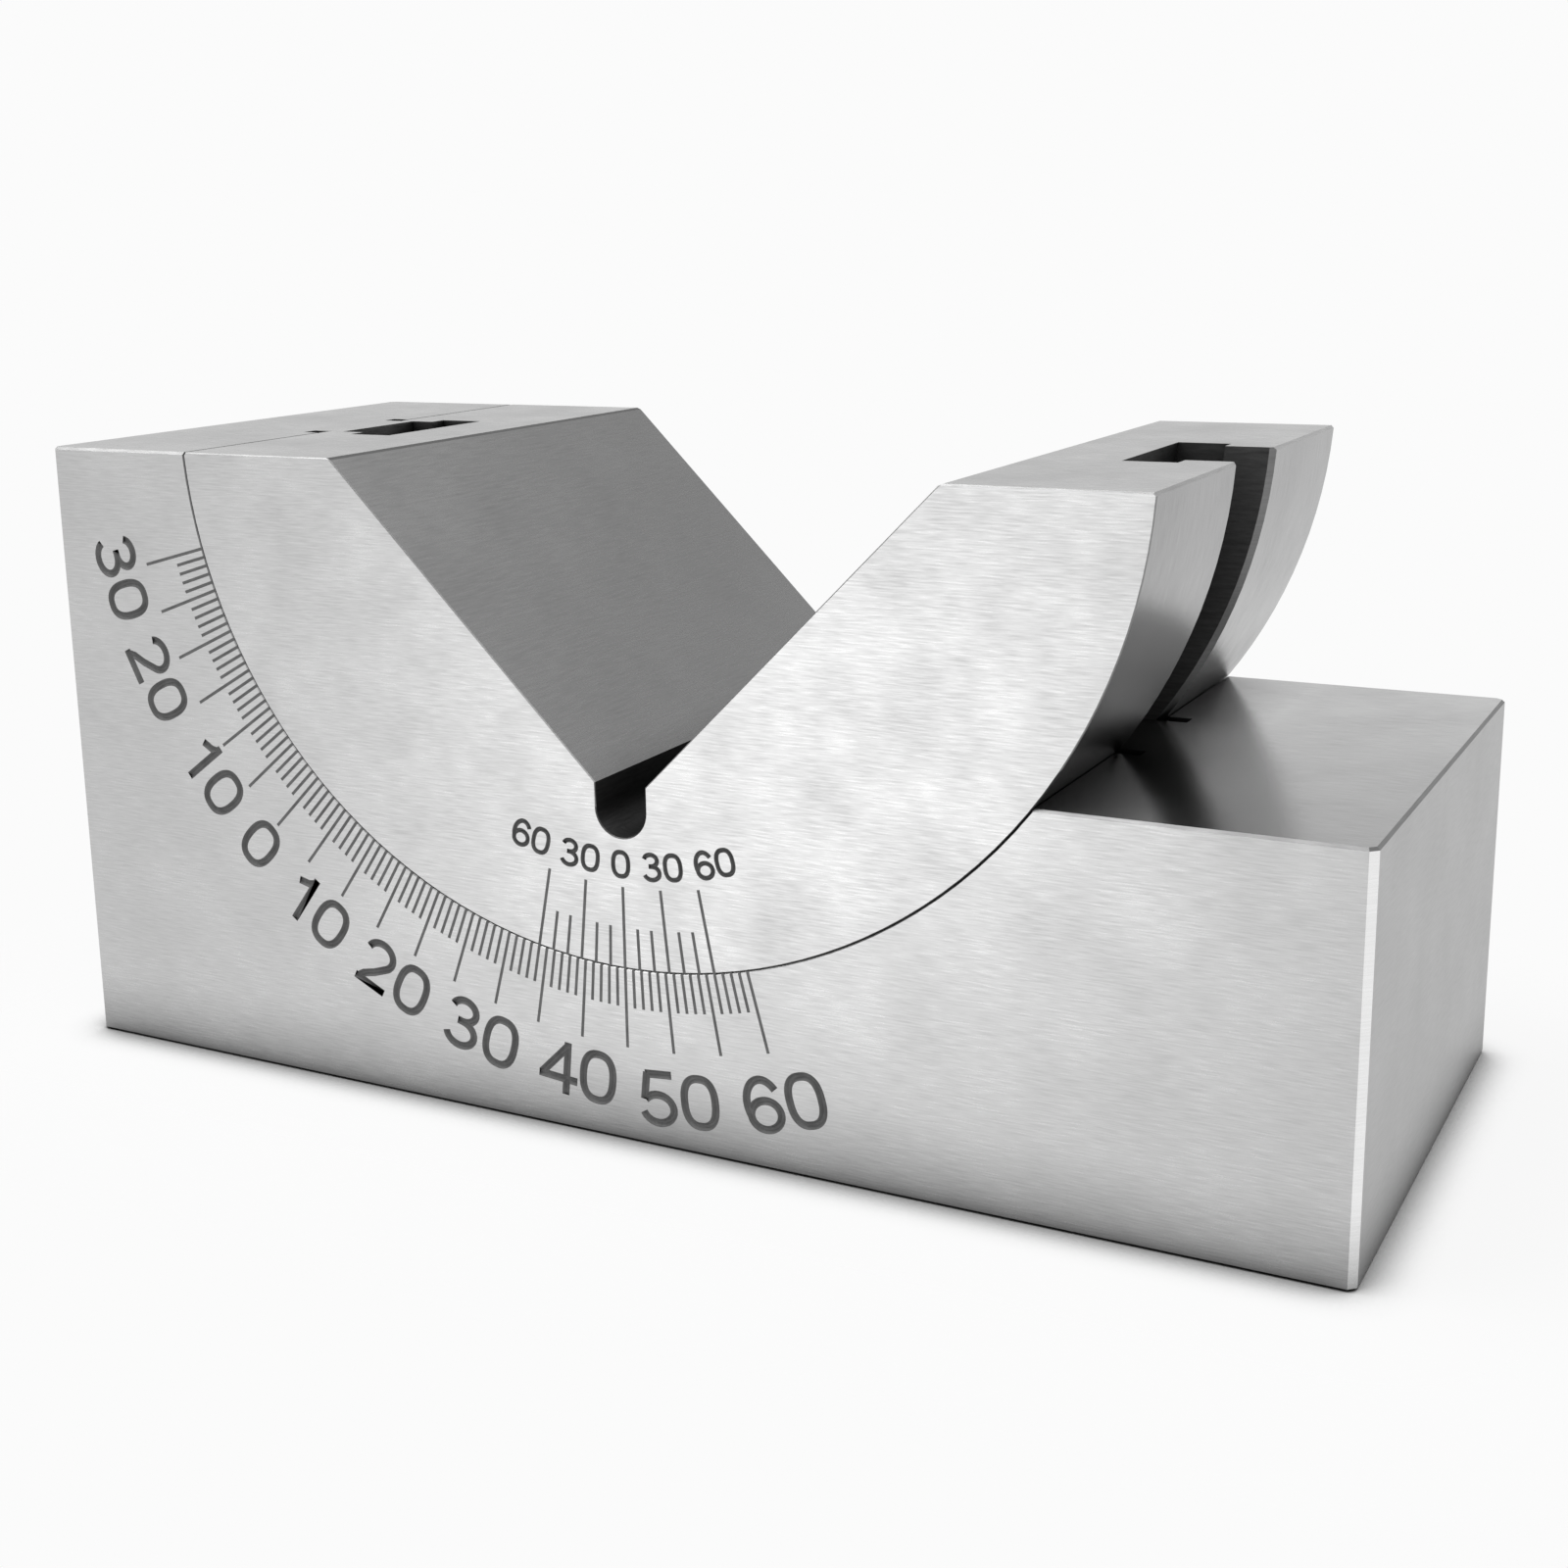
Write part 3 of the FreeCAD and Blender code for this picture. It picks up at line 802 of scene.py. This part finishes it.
marks = marks_tree()
for node, body, slot, name, finish_and_painted_light, scale in (
        ("block_base", "base", "base_steel", "base", finishes_and_painted_light("base", 0.43, 0.59, 8.0),
         (BASE_MARKS, BASE_NUMERALS, SCALE_MIDDLE, BASE_LETTERING)),
        ("vee_insert", "insert", "insert_steel", "insert", finishes_and_painted_light("insert", 0.43, 0.62, 5.0),
         (VERNIER_MARKS, VERNIER_NUMERALS, 0.0, VERNIER_LETTERING))):
    cutter = scale_cutter(name + "_scale", marks, *scale, FILL)
    low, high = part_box(node)
    fill_mesh = cut(name + "_fill", slab_under_face(low, high), cutter.copy(), "INTERSECT")
    fill_mesh = cut(name + "_hollow", fill_mesh, numeral_cutter(*scale[1:], HOLLOW), "DIFFERENCE")
    steel_mesh = cut(name + "_engraved", merged_copy(name, node), cutter, "DIFFERENCE")
    finish_steel(name + "_engraved", steel_mesh, finish_and_painted_light, body, node, slot)
    finish_fill(name + "_scale_fill", fill_mesh, FILL, body)

cap_screw(ground_steel("black_oxide", grinding, painted_shade, 0.02, 0.05, 0.38, on_object=True))
milled = ground_steel("milled_steel", grinding, painted_shade, 0.26, 0.36, 0.38,
                      on_object=True, scratch_length=6.0)
for held in frame["nodes"]["clamp_nut"].material_slots:
    held.link = "OBJECT"
    held.material = milled

# ---------------------------------------------------------------- studio
# Brightness of the surroundings by height: pale round the horizon, then a
# darker band, and lighter again overhead.
WHITE = 0.965
SKY = [(0.0, WHITE), (0.20, WHITE), (0.42, 0.22), (0.56, 0.36), (0.80, 0.60)]
FLOOR_FADE = (4 * MM, 28 * MM)  # distance from the block over which the floor clears
CONTACT_REACH = 4 * MM
GLOW = 0.92  # share of its own light in the floor that is seen
CAMERA_PLACE = (75.23 * MM, -144.50 * MM, 63.81 * MM)
CAMERA_YAW, CAMERA_PITCH, CAMERA_ROLL = 0.5089, 0.2285, -0.0214


def studio_floor():
    """Pale paper that fades into the white around it, with a close soft shadow. The shadow is
    painted: the occlusion mask darkens the colour that the floor glows with, and only its lit
    share, 1 - GLOW, takes a real cast shadow.
    """
    material, tree, shader = new_material("floor_paper")
    shader.inputs["Base Color"].default_value = (0.9, 0.9, 0.9, 1)
    shader.inputs["Roughness"].default_value = 1.0
    shader.inputs["Specular IOR Level"].default_value = 0.0

    maths = maths_in(tree)

    where = connect(tree, "ShaderNodeTexCoord").outputs["Object"]
    sides = connect(tree, "ShaderNodeVectorMath", {0: where}, operation="ABSOLUTE").outputs[0]
    beyond = connect(tree, "ShaderNodeVectorMath", {0: sides, 1: (BASE_HIGH.x, BASE_HIGH.y, 0)},
                     operation="SUBTRACT").outputs[0]
    outside = connect(tree, "ShaderNodeVectorMath", {0: beyond, 1: (0, 0, 0)},
                      operation="MAXIMUM").outputs[0]
    far = connect(tree, "ShaderNodeVectorMath", {0: outside}, operation="LENGTH").outputs["Value"]
    fade = connect(tree, "ShaderNodeMapRange", {
        "Value": far, "From Min": FLOOR_FADE[0], "From Max": FLOOR_FADE[1]},
                   interpolation_type="SMOOTHSTEP").outputs[0]
    # Painted shadow: the floor is darker close round the block, from the occlusion mask.
    contact = connect_group(tree, painted_shade, {
        "Reach": CONTACT_REACH, "Shut": 0.42, "Open": 0.86})["Mask"]
    paper = connect(tree, "ShaderNodeEmission",
                    {"Color": maths("MULTIPLY", contact, WHITE)}).outputs[0]
    path = connect(tree, "ShaderNodeLightPath").outputs
    seen = maths("MAXIMUM", path["Is Camera Ray"], maths("MAXIMUM", path["Is Glossy Ray"],
                                                         path["Is Transmission Ray"]))
    lit = connect(tree, "ShaderNodeMixShader", {
        0: maths("MULTIPLY", seen, GLOW), 1: shader.outputs[0], 2: paper}).outputs[0]
    clear = connect(tree, "ShaderNodeBsdfTransparent").outputs[0]
    mixed = connect(tree, "ShaderNodeMixShader", {0: fade, 1: lit, 2: clear}).outputs[0]
    tree.links.new(mixed, tree.nodes["Material Output"].inputs["Surface"])
    bm = bmesh.new()
    bmesh.ops.create_grid(bm, x_segments=1, y_segments=1, size=0.5)
    mesh = bpy.data.meshes.new("floor")
    bm.to_mesh(mesh)
    bm.free()
    floor = new_object("floor", mesh)
    floor.location.z = BASE_LOW.z - 0.01 * MM
    mesh.materials.append(material)


def studio_world():
    world = bpy.data.worlds.new("studio")
    bpy.context.scene.world = world
    world.use_nodes = True
    tree = world.node_tree
    background = tree.nodes["Background"]
    where = connect(tree, "ShaderNodeTexCoord").outputs["Generated"]
    height = connect(tree, "ShaderNodeSeparateXYZ", {0: where}).outputs["Z"]
    ramp = connect(tree, "ShaderNodeValToRGB", {"Fac": height})
    set_stops(ramp, SKY)
    tree.links.new(ramp.outputs["Color"], background.inputs["Color"])
    background.inputs["Strength"].default_value = 1.0


def softbox(name, place, aim, width, height, power):
    data = bpy.data.lights.new(name, "AREA")
    data.shape = "RECTANGLE"
    data.size, data.size_y = width, height
    data.energy = power
    lamp = bpy.data.objects.new(name, data)
    bpy.context.scene.collection.objects.link(lamp)
    lamp.location = place
    lamp.rotation_euler = (Vector(aim) - Vector(place)).to_track_quat("-Z", "Y").to_euler()


def camera():
    """Camera low on the ledge side, looking along the block."""
    data = bpy.data.cameras.new("camera")
    data.lens = 49.447
    data.sensor_width = 36.0
    data.shift_x, data.shift_y = 0.05, -0.0375
    data.clip_start = 0.01
    item = bpy.data.objects.new("camera", data)
    bpy.context.scene.collection.objects.link(item)
    right = Vector((math.cos(CAMERA_YAW), math.sin(CAMERA_YAW), 0))
    level = Vector((-math.sin(CAMERA_YAW), math.cos(CAMERA_YAW), 0))
    ahead = level * math.cos(CAMERA_PITCH) - Vector((0, 0, math.sin(CAMERA_PITCH)))
    up = right.cross(ahead)
    across = right * math.cos(CAMERA_ROLL) + up * math.sin(CAMERA_ROLL)
    upright = -right * math.sin(CAMERA_ROLL) + up * math.cos(CAMERA_ROLL)
    turned = Matrix((across, upright, -ahead)).transposed().to_4x4()
    item.matrix_world = Matrix.Translation(CAMERA_PLACE) @ turned
    bpy.context.scene.camera = item


studio_floor()
studio_world()
softbox("key_light", (-0.38, -0.18, 0.68), (0, 0, 0.02), 0.5, 0.5, 4.0)
softbox("fill_light", (0.45, -0.40, 0.55), (0, 0, 0.02), 0.5, 0.4, 1.5)
softbox("front_light", (-0.237, -0.55, -0.10), (0.015, -0.022, 0.032), 0.24, 0.20, 0.17)
camera()
bpy.context.scene.view_settings.view_transform = "Standard"
